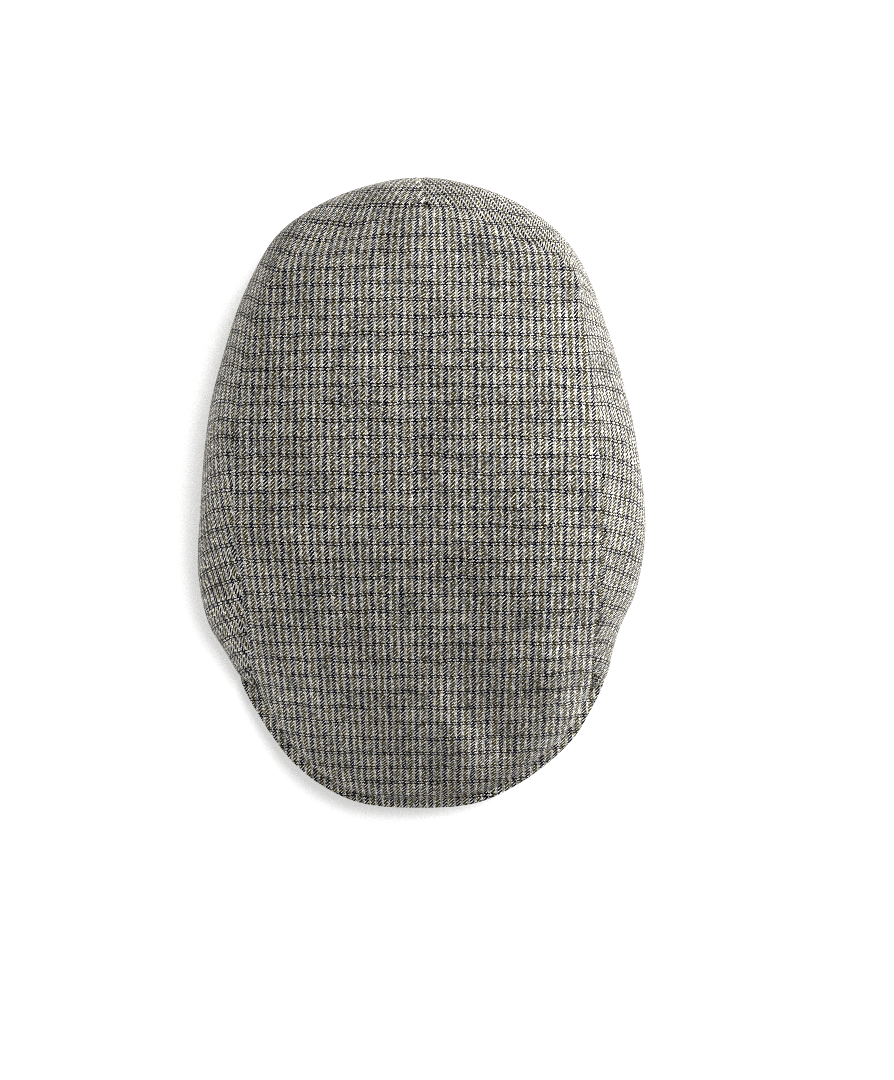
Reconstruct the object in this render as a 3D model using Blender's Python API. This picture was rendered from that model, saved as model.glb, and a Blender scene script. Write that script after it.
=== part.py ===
# Flat cap: a large top panel, two side panels that meet at the back, and a stiff peak under the front.
# Metres, +Z up, peak towards -Y, back towards +Y. The origin is on the floor, under the middle of the cap.

import math

import bmesh
import bpy
import numpy as np
from mathutils import Vector

# Overall sizes
CAP_LENGTH = 0.2872         # front of the peak to the back, in plan
CAP_WIDTH = 0.2044          # widest place of the side panels
CAP_HEIGHT = 0.078          # floor to the crest of the top panel

# Head opening, an oval
HEAD_WIDTH = 0.168
HEAD_LENGTH = 0.204
HEAD_BACK_INSET = 0.020     # how far the rim stays in front of the back of the cap

# Walls and fits
CLOTH = 0.0022              # cloth with its lining
SEAM_GAP = 0.0003           # clearance between two pieces sewn together
PEAK_THICKNESS = 0.0034     # stiffener with cloth on both faces
PEAK_FRONT_LIP = 0.0030     # how far the peak stands out past the top panel at the front
PEAK_LEFT_LIP = 0.0052      # and beside each tip
PEAK_RIGHT_LIP = 0.0034
PEAK_FRONT_HEIGHT = 0.0245  # middle of the peak's front edge above the floor
PEAK_INNER_HEIGHT = 0.032   # middle of the peak's inner edge above the floor
PEAK_BEVEL = 0.0011         # rounding of the peak's edges, measured in from the edge
PEAK_BEVEL_DROP = 0.0009    # and down from each face
PANEL_ROLL = 0.0030         # drop of the top panel as it turns down on to the peak
PANEL_ROLL_WIDTH = 0.009
TIP_HEIGHT = 0.0025         # height of a side panel at its front tip
RIM_STEP = 0.011            # length over which a side panel's foot steps from the peak to the floor
DENT_DEPTH = 0.0013         # deepest of the soft dents in the top panel

HALF_LENGTH = CAP_LENGTH / 2
HALF_WIDTH = CAP_WIDTH / 2
HEAD_CENTRE = HALF_LENGTH - HEAD_BACK_INSET - HEAD_LENGTH / 2

# Stations run along each side of the cap, from the front centre to the back centre.
TIP_STATION = 10            # front tip of a side panel
PEAK_END_STATION = 17       # rear end of the peak
RIM_STATION = PEAK_END_STATION + 1
BACK_STATION = 40
TOP_RINGS = (1.0, 0.965, 0.92, 0.85, 0.76, 0.63, 0.47, 0.30, 0.14)
UPPER_ROWS = 5              # rows of a side panel above its widest line
LOWER_ROWS = 6              # and below it
PEAK_ROWS = 5
SHOULDER_SWEEP = math.radians(56)   # turn of a side panel from its widest line up to the seam
PEAK_ARCH = 1.4             # how quickly the peak's inner edge falls from its middle to its ends
CURVE_STEPS = 24            # fine steps between two rows of a table
CREASE_ANGLE = math.radians(45)     # edges sharper than this stay crisp

LEFT = -1
RIGHT = 1
TOP_PANEL = 0
LEFT_PANEL = 1
RIGHT_PANEL = 2

# Crest of the top panel: place along the half length, height as a share of CAP_HEIGHT, and how square
# the section across the cap is there.
CREST_COLUMNS = ("along", "height", "squareness")
CREST_ROWS = (
    (-0.921, 0.449, 2.2),
    (-0.804, 0.558, 2.8),
    (-0.692, 0.649, 3.1),
    (-0.559, 0.751, 3.5),
    (-0.350, 0.885, 4.2),
    (-0.175, 0.962, 4.6),
    (0.035, 1.000, 4.8),
    (0.245, 0.986, 4.6),
    (0.469, 0.923, 4.0),
    (0.629, 0.842, 3.2),
    (0.755, 0.750, 2.6),
    (0.839, 0.690, 2.2),
)

# Edges seen from above: places as shares of the half length and of the half width on each side, and
# height as a share of the height that the edge follows.
EDGE_COLUMNS = ("along", "left", "right", "height")

# Seam between the top panel and the side panels, behind the tips; heights follow CAP_HEIGHT.
SEAM_ROWS = (
    (-0.559, 0.757, 0.764, 0.385),
    (-0.462, 0.767, 0.769, 0.513),
    (-0.336, 0.782, 0.779, 0.635),
    (-0.175, 0.803, 0.784, 0.737),
    (0.000, 0.816, 0.782, 0.788),
    (0.175, 0.806, 0.762, 0.801),
    (0.350, 0.772, 0.735, 0.776),
    (0.525, 0.723, 0.701, 0.737),
    (0.643, 0.665, 0.690, 0.705),
    (0.713, 0.588, 0.640, 0.685),
    (0.755, 0.479, 0.538, 0.668),
    (0.792, 0.362, 0.421, 0.655),
    (0.837, 0.235, 0.294, 0.646),
    (0.875, 0.098, 0.157, 0.641),
    (0.886, -0.029, 0.029, 0.640),
)

# Widest line of the side panels, behind the tips; heights follow CAP_HEIGHT.
BROW_ROWS = (
    (-0.587, 0.816, 0.833, 0.180),
    (-0.504, 0.885, 0.865, 0.192),
    (-0.420, 0.953, 0.901, 0.231),
    (-0.315, 0.989, 0.960, 0.276),
    (-0.175, 1.000, 0.996, 0.320),
    (0.000, 0.982, 0.996, 0.353),
    (0.175, 0.959, 0.960, 0.365),
    (0.350, 0.914, 0.902, 0.372),
    (0.525, 0.842, 0.828, 0.378),
    (0.692, 0.745, 0.743, 0.385),
    (0.825, 0.626, 0.616, 0.391),
    (0.916, 0.449, 0.432, 0.397),
    (0.976, 0.232, 0.222, 0.397),
    (1.000, 0.000, 0.000, 0.397),
)

# Outer edge of the peak, from the front centre back to its end; heights follow PEAK_FRONT_HEIGHT.
# The side panels' tips stand on the last row of the first table.
PEAK_FRONT_ROWS = (
    (-1.000, 0.000, 0.000, 1.00),
    (-0.985, 0.270, 0.248, 0.98),
    (-0.928, 0.450, 0.430, 0.90),
    (-0.854, 0.580, 0.580, 0.79),
    (-0.778, 0.667, 0.690, 0.68),
    (-0.701, 0.740, 0.758, 0.57),
    (-0.643, 0.788, 0.802, 0.49),
)
PEAK_REAR_ROWS = (
    (-0.525, 0.807, 0.810, 0.33),
    (-0.385, 0.802, 0.802, 0.21),
    (-0.245, 0.758, 0.758, 0.13),
)

# Soft dents and ridges of the top panel over the peak: place, half length and half width as shares of
# the half width and half length, turn of the long axis in degrees, height as a share of DENT_DEPTH.
DENT_COLUMNS = ("across", "along", "long", "wide", "turn", "height")
DENT_ROWS = (
    (0.13, -0.73, 0.17, 0.075, -59, 0.9),
    (0.47, -0.65, 0.17, 0.120, 57, -1.0),
    (-0.11, -0.79, 0.14, 0.090, -61, -0.8),
    (0.71, -0.51, 0.07, 0.045, 85, -0.9),
)


def unit(vector):
    return vector / np.linalg.norm(vector)


def smooth_curve(points, level_end=False):
    """Return a dense curve through all the points; a level end meets its mirror image smoothly."""
    points = np.asarray(points, dtype=float)
    after = 2 * points[-1] - points[-2]
    if level_end:
        after[1:] = points[-2][1:]
    ends = np.vstack([2 * points[0] - points[1], points, after])
    knots = [0.0]
    for first, second in zip(ends[:-1], ends[1:]):
        knots.append(knots[-1] + math.sqrt(np.linalg.norm(second - first)))
    curve = []
    for index in range(1, len(ends) - 2):
        t0, t1, t2, t3 = knots[index - 1:index + 3]
        p0, p1, p2, p3 = ends[index - 1:index + 3]
        for step in range(CURVE_STEPS):
            t = t1 + (t2 - t1) * step / CURVE_STEPS
            a1 = (p0 * (t1 - t) + p1 * (t - t0)) / (t1 - t0)
            a2 = (p1 * (t2 - t) + p2 * (t - t1)) / (t2 - t1)
            a3 = (p2 * (t3 - t) + p3 * (t - t2)) / (t3 - t2)
            b1 = (a1 * (t2 - t) + a2 * (t - t0)) / (t2 - t0)
            b2 = (a2 * (t3 - t) + a3 * (t - t1)) / (t3 - t1)
            curve.append((b1 * (t2 - t) + b2 * (t - t1)) / (t2 - t1))
    curve.append(points[-1])
    return np.array(curve)


def even_points(curve, count):
    """Return count + 1 points spaced evenly along a dense curve."""
    lengths = np.linalg.norm(np.diff(curve, axis=0), axis=1)
    travelled = np.concatenate([[0.0], np.cumsum(lengths)])
    wanted = np.linspace(0.0, travelled[-1], count + 1)
    return np.column_stack([np.interp(wanted, travelled, curve[:, axis]) for axis in range(3)])


def edge_points(rows, side, height_unit):
    """Return the points that the rows of an edge table give on one side of the cap."""
    points = []
    for row in rows:
        values = dict(zip(EDGE_COLUMNS, row))
        reach = values["left"] if side == LEFT else values["right"]
        across = side * reach * HALF_WIDTH
        points.append((across, values["along"] * HALF_LENGTH, values["height"] * height_unit))
    return points


def rim_point(angle, side):
    """Return a point of the head opening's oval; angle 0 is the front and pi the back."""
    across = side * math.sin(angle) * HEAD_WIDTH / 2
    along = HEAD_CENTRE - math.cos(angle) * HEAD_LENGTH / 2
    return (across, along, 0.0)


def rim_angle_at(along):
    """Return the oval's angle at a place along the cap."""
    return math.acos((HEAD_CENTRE - along) / (HEAD_LENGTH / 2))


class PeakForm:
    """The middle surface of the peak on one side of the cap, ruled between its two edges."""

    def __init__(self, side):
        front = edge_points(PEAK_FRONT_ROWS, side, PEAK_FRONT_HEIGHT)
        rear = edge_points(PEAK_REAR_ROWS, side, PEAK_FRONT_HEIGHT)
        mirror = (-front[1][0], front[1][1], front[1][2])
        whole = smooth_curve([mirror] + front + rear)[CURVE_STEPS:]
        tip = (len(front) - 1) * CURVE_STEPS
        ahead = even_points(whole[:tip + 1], TIP_STATION)
        behind = even_points(whole[tip:], PEAK_END_STATION - TIP_STATION)
        self.outer = np.vstack([ahead, behind[1:]])
        end_angle = rim_angle_at(self.outer[-1][1])
        end_height = self.outer[-1][2]
        inner = []
        for station in range(PEAK_END_STATION + 1):
            share = station / PEAK_END_STATION
            across, along, _ = rim_point(end_angle * share, side)
            arch = math.cos(share * math.pi / 2) ** PEAK_ARCH
            inner.append((across, along, end_height + (PEAK_INNER_HEIGHT - end_height) * arch))
        self.inner = np.array(inner)
        self.outer_run = self.runs(self.outer, side)
        self.inner_run = self.runs(self.inner, side)
        self.side_lip = PEAK_LEFT_LIP if side == LEFT else PEAK_RIGHT_LIP

    def runs(self, edge, side):
        """Return the direction of an edge at each station, from left to right."""
        runs = np.gradient(edge, axis=0) * side
        runs[0] = (1.0, 0.0, 0.0)
        return runs

    def width(self, station):
        return np.linalg.norm(self.inner[station] - self.outer[station])

    def place(self, station, inset, lift):
        """Return the point at a distance in from the outer edge and above the middle surface."""
        inward = unit(self.inner[station] - self.outer[station])
        share = inset / self.width(station)
        run = self.outer_run[station] * (1 - share) + self.inner_run[station] * share
        up = unit(np.cross(unit(run), inward))
        return self.outer[station] + inward * inset + up * lift

    def lip(self, station):
        """Return how far the peak stands out at a station: most beside the tip, least at both ends."""
        if station <= TIP_STATION:
            share = (station / TIP_STATION) ** 2
        else:
            share = (PEAK_END_STATION - station) / (PEAK_END_STATION - TIP_STATION)
        return PEAK_FRONT_LIP + (self.side_lip - PEAK_FRONT_LIP) * share

    def seat(self, station, cover):
        """Return where a panel's outer face stands on the peak, past its lip, under a cover's height."""
        upper = self.place(station, self.lip(station), PEAK_THICKNESS / 2)
        return upper + np.array((0.0, 0.0, SEAM_GAP + cover))

    def slope(self, station):
        """Return the rise of the peak for each unit of travel in from its outer edge."""
        inward = self.inner[station] - self.outer[station]
        return inward[2] / np.linalg.norm(inward[:2])


def seam_stations(peak, side):
    """Return the edge of the top panel at each station: on the peak, then along the seam."""
    on_front = []
    for station in range(TIP_STATION + 1):
        rise = TIP_HEIGHT * (station / TIP_STATION) ** 3
        on_front.append(peak.seat(station, CLOTH + rise))
    rows = [on_front[-1]] + edge_points(SEAM_ROWS, side, CAP_HEIGHT)
    behind = even_points(smooth_curve(rows, level_end=True), BACK_STATION - TIP_STATION)
    return np.vstack([on_front, behind[1:]])


def foot_stations(peak, side):
    """Return the lower edge of a side panel: on the peak at the front, then on the floor."""
    on_front = []
    for station in range(TIP_STATION, PEAK_END_STATION + 1):
        on_front.append(peak.seat(station, CLOTH * max(peak.slope(station), 0.0)))
    start_angle = rim_angle_at(on_front[-1][1] + RIM_STEP)
    count = BACK_STATION - RIM_STATION
    on_floor = []
    for step in range(count + 1):
        on_floor.append(rim_point(start_angle + (math.pi - start_angle) * step / count, side))
    return np.vstack([on_front, on_floor])


def brow_stations(seam, foot, side):
    """Return the widest line of a side panel from its tip to the back."""
    tip = (seam[TIP_STATION] + foot[0]) / 2
    rows = [tip] + edge_points(BROW_ROWS, side, CAP_HEIGHT)
    return even_points(smooth_curve(rows, level_end=True), BACK_STATION - TIP_STATION)


def side_profile(seam, brow, foot):
    """Return the section of a side panel, from the seam out to its widest place and in to the foot."""
    points = []
    for row in range(UPPER_ROWS):
        turn = SHOULDER_SWEEP * (1 - row / UPPER_ROWS)
        rise = math.sin(turn) / math.sin(SHOULDER_SWEEP)
        inset = (1 - math.cos(turn)) / (1 - math.cos(SHOULDER_SWEEP))
        across = brow[:2] + (seam[:2] - brow[:2]) * inset
        points.append((across[0], across[1], brow[2] + (seam[2] - brow[2]) * rise))
    for row in range(LOWER_ROWS + 1):
        drop = row / LOWER_ROWS
        inset = drop * drop * (3 - 2 * drop)
        across = brow[:2] + (foot[:2] - brow[:2]) * inset
        points.append((across[0], across[1], brow[2] + (foot[2] - brow[2]) * drop))
    return points


class TopPanelForm:
    """The outer surface of the top panel over its outline."""

    def __init__(self, edges):
        self.edges = edges
        front = edges[LEFT][0]
        back = edges[LEFT][-1]
        rows = [dict(zip(CREST_COLUMNS, row)) for row in CREST_ROWS]
        crest = [(0.0, front[1], front[2] + PANEL_ROLL)]
        crest += [(0.0, row["along"] * HALF_LENGTH, row["height"] * CAP_HEIGHT) for row in rows]
        crest.append((0.0, back[1], back[2]))
        self.crest = smooth_curve(crest)
        self.square_at = [row["along"] * HALF_LENGTH for row in rows]
        self.squareness = [row["squareness"] for row in rows]
        self.middle = (front[:2] + back[:2]) / 2

    def dents(self, across, along):
        """Return the height that the dents and ridges add at a place."""
        total = 0.0
        for row in DENT_ROWS:
            dent = dict(zip(DENT_COLUMNS, row))
            turn = math.radians(dent["turn"])
            step_x = across - dent["across"] * HALF_WIDTH
            step_y = along - dent["along"] * HALF_LENGTH
            lengthwise = step_x * math.cos(turn) + step_y * math.sin(turn)
            sideways = step_y * math.cos(turn) - step_x * math.sin(turn)
            fall = (lengthwise / (dent["long"] * HALF_LENGTH)) ** 2
            fall += (sideways / (dent["wide"] * HALF_WIDTH)) ** 2
            total += dent["height"] * DENT_DEPTH * math.exp(-fall)
        return total

    def place(self, side, station, ring):
        """Return the point at a share (ring) of the way from the panel's middle out to a station."""
        edge = self.edges[side][station]
        if ring == 1.0:
            return edge
        across, along = self.middle + (edge[:2] - self.middle) * ring
        own = RIGHT if across >= 0 else LEFT
        border = self.edges[own]
        reach = np.interp(along, border[:, 1], np.abs(border[:, 0]))
        crest = np.interp(along, self.crest[:, 1], self.crest[:, 2])
        square = np.interp(along, self.square_at, self.squareness)
        to_edge = np.linalg.norm(edge[:2] - self.middle) * (1 - ring)
        fade = max(0.0, 1.0 - to_edge / PANEL_ROLL_WIDTH)
        roll = PANEL_ROLL * math.sqrt(max(0.0, 1.0 - station / TIP_STATION))
        border_height = np.interp(along, border[:, 1], border[:, 2]) + roll
        outward = min(abs(across) / max(reach, CLOTH), 1.0)
        height = crest - (crest - border_height) * outward ** square - roll * fade ** 2
        return np.array((across, along, height + (1 - fade) * self.dents(across, along)))


def build_skin(peaks):
    """Return the outer skin of the cap as one mesh, each face marked with its panel."""
    skin = bmesh.new()
    edges = {side: seam_stations(peaks[side], side) for side in (LEFT, RIGHT)}
    form = TopPanelForm(edges)
    around = [(RIGHT, station) for station in range(BACK_STATION + 1)]
    around += [(LEFT, station) for station in range(BACK_STATION - 1, 0, -1)]
    rings = []
    for ring in TOP_RINGS:
        rings.append([skin.verts.new(form.place(side, station, ring)) for side, station in around])
    middle = skin.verts.new(form.place(RIGHT, 0, 0.0))
    count = len(around)
    for index in range(count):
        following = (index + 1) % count
        for outer, inner in zip(rings[:-1], rings[1:]):
            quad = (outer[index], outer[following], inner[following], inner[index])
            skin.faces.new(quad).material_index = TOP_PANEL
        skin.faces.new((rings[-1][index], rings[-1][following], middle)).material_index = TOP_PANEL

    border = dict(zip(around, rings[0]))
    border[(LEFT, BACK_STATION)] = border[(RIGHT, BACK_STATION)]
    back_column = add_side_panel(skin, peaks[RIGHT], edges[RIGHT], RIGHT, border, None)
    add_side_panel(skin, peaks[LEFT], edges[LEFT], LEFT, border, back_column)
    skin.normal_update()
    return skin


def add_side_panel(skin, peak, seam, side, border, back_column):
    """Add one side panel's faces to the skin and return its column of vertices at the back seam."""
    foot = foot_stations(peak, side)
    brow = brow_stations(seam, foot, side)
    columns = []
    for station in range(TIP_STATION, BACK_STATION + 1):
        index = station - TIP_STATION
        profile = side_profile(seam[station], brow[index], foot[index])
        if station == BACK_STATION and back_column:
            columns.append(back_column)
        else:
            below = [skin.verts.new(point) for point in profile[1:]]
            columns.append([border[(side, station)]] + below)
    panel = LEFT_PANEL if side == LEFT else RIGHT_PANEL
    for first, second in zip(columns[:-1], columns[1:]):
        for row in range(UPPER_ROWS + LOWER_ROWS):
            quad = [first[row], first[row + 1], second[row + 1], second[row]]
            if side == LEFT:
                quad.reverse()
            skin.faces.new(quad).material_index = panel
    return columns[-1]


def seam_inset(vert, panel):
    """Return the move that takes a panel's vertex half the seam's clearance away from its seams."""
    inward = []
    for edge in vert.link_edges:
        own = [face for face in edge.link_faces if face.material_index == panel]
        if len(edge.link_faces) < 2 or len(own) != 1:
            continue
        direction = own[0].calc_center_median() - (edge.verts[0].co + edge.verts[1].co) / 2
        along = (edge.verts[1].co - edge.verts[0].co).normalized()
        direction -= along * direction.dot(along)
        direction -= vert.normal * direction.dot(vert.normal)
        inward.append(direction.normalized())
    if not inward:
        return Vector((0.0, 0.0, 0.0))
    total = sum(inward[1:], inward[0].copy())
    return total * (SEAM_GAP / 2 * len(inward) / total.dot(total))


def on_side_border(vert):
    """Say whether a vertex is on the free border of a side panel."""
    on_border = any(len(edge.link_faces) == 1 for edge in vert.link_edges)
    return on_border and all(face.material_index != TOP_PANEL for face in vert.link_faces)


def inward_wall(vert):
    """Return the step from the outer face of the cloth to its inner face."""
    normal = vert.normal.copy()
    if on_side_border(vert):
        normal.z = 0.0
        normal.normalize()
    return normal * -CLOTH


def panel_mesh(skin, panel):
    """Return one panel of the skin as a closed shell with the cloth's thickness."""
    faces = [face for face in skin.faces if face.material_index == panel]
    shell = bmesh.new()
    outer = {}
    inner = {}
    for face in faces:
        for vert in face.verts:
            if vert not in outer:
                place = vert.co + seam_inset(vert, panel)
                outer[vert] = shell.verts.new(place)
                inner[vert] = shell.verts.new(place + inward_wall(vert))
    for face in faces:
        shell.faces.new([outer[vert] for vert in face.verts])
        shell.faces.new([inner[vert] for vert in reversed(face.verts)])
        for loop in face.loops:
            same = [other for other in loop.edge.link_faces if other.material_index == panel]
            if len(same) == 1:
                first = loop.vert
                second = loop.link_loop_next.vert
                shell.faces.new((outer[second], outer[first], inner[first], inner[second]))
    return shell


def peak_section(peak, station):
    """Return the closed section of the peak at a station, with eased edges."""
    width = peak.width(station)
    half = PEAK_THICKNESS / 2
    eased = half - PEAK_BEVEL_DROP
    insets = [PEAK_BEVEL + (width - 2 * PEAK_BEVEL) * row / PEAK_ROWS for row in range(PEAK_ROWS + 1)]
    upper = [peak.place(station, inset, half) for inset in insets]
    lower = [peak.place(station, inset, -half) for inset in insets]
    nose = [peak.place(station, 0.0, -eased), peak.place(station, 0.0, eased)]
    heel = [peak.place(station, width, eased), peak.place(station, width, -eased)]
    return nose + upper + heel + lower[::-1]


def peak_mesh(peaks):
    """Return the peak as a closed body lofted through its sections from left to right."""
    body = bmesh.new()
    order = [(LEFT, station) for station in range(PEAK_END_STATION, 0, -1)]
    order += [(RIGHT, station) for station in range(PEAK_END_STATION + 1)]
    sections = []
    for side, station in order:
        points = peak_section(peaks[side], station)
        sections.append([body.verts.new(point) for point in points])
    count = len(sections[0])
    for first, second in zip(sections[:-1], sections[1:]):
        for index in range(count):
            following = (index + 1) % count
            body.faces.new((first[index], second[index], second[following], first[following]))
    body.faces.new(sections[0])
    body.faces.new(sections[-1][::-1])
    bmesh.ops.recalc_face_normals(body, faces=body.faces)
    return body


def cloth_material(name, colour, roughness):
    """Return a plain matt cloth."""
    material = bpy.data.materials.new(name)
    material.use_nodes = True
    shader = material.node_tree.nodes["Principled BSDF"]
    shader.inputs["Base Color"].default_value = (*colour, 1.0)
    shader.inputs["Roughness"].default_value = roughness
    shader.inputs["Metallic"].default_value = 0.0
    return material


def add_piece(name, body, material, parent):
    """Turn a body into a named object of the cap."""
    mesh = bpy.data.meshes.new(name)
    body.to_mesh(mesh)
    body.free()
    mesh.shade_smooth()
    mesh.set_sharp_from_angle(angle=CREASE_ANGLE)
    mesh.materials.append(material)
    piece = bpy.data.objects.new(name, mesh)
    bpy.context.scene.collection.objects.link(piece)
    piece.parent = parent


def main():
    for old in list(bpy.data.objects):
        bpy.data.objects.remove(old, do_unlink=True)

    cap = bpy.data.objects.new("cap_frame", None)
    bpy.context.scene.collection.objects.link(cap)
    peaks = {side: PeakForm(side) for side in (LEFT, RIGHT)}
    skin = build_skin(peaks)
    top_cloth = cloth_material("top_check_cloth", (0.180, 0.172, 0.152), 0.90)
    left_cloth = cloth_material("left_check_cloth", (0.184, 0.177, 0.157), 0.90)
    right_cloth = cloth_material("right_check_cloth", (0.184, 0.177, 0.157), 0.90)
    peak_cloth = cloth_material("peak_check_cloth", (0.170, 0.163, 0.145), 0.88)
    add_piece("crown_top", panel_mesh(skin, TOP_PANEL), top_cloth, cap)
    add_piece("side_panel_left", panel_mesh(skin, LEFT_PANEL), left_cloth, cap)
    add_piece("side_panel_right", panel_mesh(skin, RIGHT_PANEL), right_cloth, cap)
    add_piece("peak", peak_mesh(peaks), peak_cloth, cap)
    skin.free()


main()
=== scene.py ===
# Flat cap in a fine checked twill, resting on a pale table and seen from straight above.
import math

import bpy
import numpy as np
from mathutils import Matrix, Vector
from mathutils.kdtree import KDTree
from numpy.linalg import norm


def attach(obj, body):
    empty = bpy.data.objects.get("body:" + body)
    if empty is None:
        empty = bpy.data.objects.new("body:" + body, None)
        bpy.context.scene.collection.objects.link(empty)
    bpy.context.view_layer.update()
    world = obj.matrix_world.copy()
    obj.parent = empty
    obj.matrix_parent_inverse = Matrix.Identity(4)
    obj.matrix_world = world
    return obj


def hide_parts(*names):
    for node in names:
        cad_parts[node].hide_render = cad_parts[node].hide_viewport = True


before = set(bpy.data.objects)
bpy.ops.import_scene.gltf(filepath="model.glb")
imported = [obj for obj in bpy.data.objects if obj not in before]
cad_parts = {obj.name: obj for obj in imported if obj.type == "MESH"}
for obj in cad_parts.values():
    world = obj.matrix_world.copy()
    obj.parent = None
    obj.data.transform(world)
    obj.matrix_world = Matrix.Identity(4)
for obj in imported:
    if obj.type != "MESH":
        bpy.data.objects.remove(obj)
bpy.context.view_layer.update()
print("frame loaded:", sorted(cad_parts))

# shape of the cap, in metres; the same sizes as the solids under it
cap = {
    "length": 0.2872,
    "width": 0.2044,
    "height": 0.078,
    "headWidth": 0.168,
    "headLength": 0.204,
    "headBackInset": 0.020,
    "cloth": 0.0022,
    "seamGap": 0.0003,
    "tipHeight": 0.0025,
    "rimStep": 0.011,
    "shoulderSweep": math.radians(56),
    "edgeAngle": math.radians(55),      # edges sharper than this are rounded
    "edgeSegments": 3,
}
halfLength = cap["length"] / 2
halfWidth = cap["width"] / 2
headCentre = halfLength - cap["headBackInset"] - cap["headLength"] / 2
left, right = -1, 1
sides = (left, right)

# along the half length, height share, squareness of the section across
crestRows = (
    (-0.921, 0.449, 2.2), (-0.804, 0.558, 2.8), (-0.692, 0.649, 3.1), (-0.559, 0.751, 3.5),
    (-0.350, 0.885, 4.2), (-0.175, 0.962, 4.6), (0.035, 1.000, 4.8), (0.245, 0.986, 4.6),
    (0.469, 0.923, 4.0), (0.629, 0.842, 3.2), (0.755, 0.750, 2.6), (0.839, 0.690, 2.2),
)
# along, left reach, right reach, height share
seamRows = (
    (-0.559, 0.757, 0.764, 0.385), (-0.462, 0.767, 0.769, 0.513), (-0.336, 0.782, 0.779, 0.635),
    (-0.175, 0.803, 0.784, 0.737), (0.000, 0.816, 0.782, 0.788), (0.175, 0.806, 0.762, 0.801),
    (0.350, 0.772, 0.735, 0.776), (0.525, 0.723, 0.701, 0.737), (0.643, 0.665, 0.690, 0.705),
    (0.713, 0.588, 0.640, 0.685), (0.755, 0.479, 0.538, 0.668), (0.792, 0.362, 0.421, 0.655),
    (0.837, 0.235, 0.294, 0.646), (0.875, 0.098, 0.157, 0.641), (0.886, -0.029, 0.029, 0.640),
)
# the same for the widest line of the sides
browRows = (
    (-0.587, 0.816, 0.833, 0.180), (-0.504, 0.885, 0.865, 0.192), (-0.420, 0.953, 0.901, 0.231),
    (-0.315, 0.989, 0.960, 0.276), (-0.175, 1.000, 0.996, 0.320), (0.000, 0.982, 0.996, 0.353),
    (0.175, 0.959, 0.960, 0.365), (0.350, 0.914, 0.902, 0.372), (0.525, 0.842, 0.828, 0.378),
    (0.692, 0.745, 0.743, 0.385), (0.825, 0.626, 0.616, 0.391), (0.916, 0.449, 0.432, 0.397),
    (0.976, 0.232, 0.222, 0.397), (1.000, 0.000, 0.000, 0.397),
)


curveSteps = 24     # fine steps between two rows of a table


def between(first, second, start, end, t):
    return (first * (end - t) + second * (t - start)) / (end - start)


def smoothCurve(points, levelEnd=False):
    # a dense curve through all the points; a level end meets its mirror image smoothly
    points = np.asarray(points, float)
    after = 2 * points[-1] - points[-2]
    if levelEnd:
        after[1:] = points[-2][1:]
    ends = np.vstack([2 * points[0] - points[1], points, after])
    knots = [0.0]
    for first, second in zip(ends[:-1], ends[1:]):
        knots.append(knots[-1] + math.sqrt(norm(second - first)))
    curve = []
    for index in range(1, len(ends) - 2):
        t0, t1, t2, t3 = knots[index - 1:index + 3]
        p0, p1, p2, p3 = ends[index - 1:index + 3]
        for step in range(curveSteps):
            t = t1 + (t2 - t1) * step / curveSteps
            a1 = between(p0, p1, t0, t1, t)
            a2 = between(p1, p2, t1, t2, t)
            a3 = between(p2, p3, t2, t3, t)
            b1 = between(a1, a2, t0, t2, t)
            b2 = between(a2, a3, t1, t3, t)
            curve.append(between(b1, b2, t1, t2, t))
    curve.append(points[-1])
    return np.array(curve)


def evenPoints(curve, count):
    travelled = runAlong(curve)
    wanted = np.linspace(0.0, travelled[-1], count + 1)
    return np.column_stack([np.interp(wanted, travelled, curve[:, axis]) for axis in range(3)])


def runAlong(curve):
    # distance from the first point to each point of a curve
    return np.concatenate([[0.0], np.cumsum(norm(np.diff(curve, axis=0), axis=1))])


def runAcross(points):
    # distance from a panel's seam to each point, down every column
    spans = norm(np.diff(points, axis=1), axis=2)
    return np.concatenate([np.zeros((len(points), 1)), np.cumsum(spans, axis=1)], axis=1)


def unit(vectors):
    return vectors / np.maximum(norm(vectors, axis=-1, keepdims=True), 1e-12)


def eased(share):
    # from 0 to 1 with a level start and end
    return share * share * (3 - 2 * share)


def edgePoints(rows, side, heightUnit):
    reach = 1 if side == left else 2
    return [(side * row[reach] * halfWidth, row[0] * halfLength, row[3] * heightUnit) for row in rows]


def rimPoint(angle, side):
    # the oval of the head opening; angle 0 is the front and pi the back
    return (side * math.sin(angle) * cap["headWidth"] / 2,
            headCentre - math.cos(angle) * cap["headLength"] / 2, 0.0)


def rimAngleAt(along):
    return math.acos((headCentre - along) / (cap["headLength"] / 2))


# peak
peak = {
    "thickness": 0.0034,
    "frontLip": 0.0030,         # how far it stands out past the top panel
    "leftLip": 0.0052,
    "rightLip": 0.0034,
    "frontHeight": 0.0245,
    "innerHeight": 0.032,
    "arch": 1.4,
    "edgeRounding": 0.00125,
    "swellWidth": 0.0026,       # the lip curves up to the top panel's edge over this width
    "frontColumns": 90,         # from the middle to a side panel's tip
    "rearColumns": 60,          # from the tip to the peak's end
    "stations": (10, 17),       # the solids' stations at the tip and at the peak's end
    "rows": 34,
}
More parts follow.
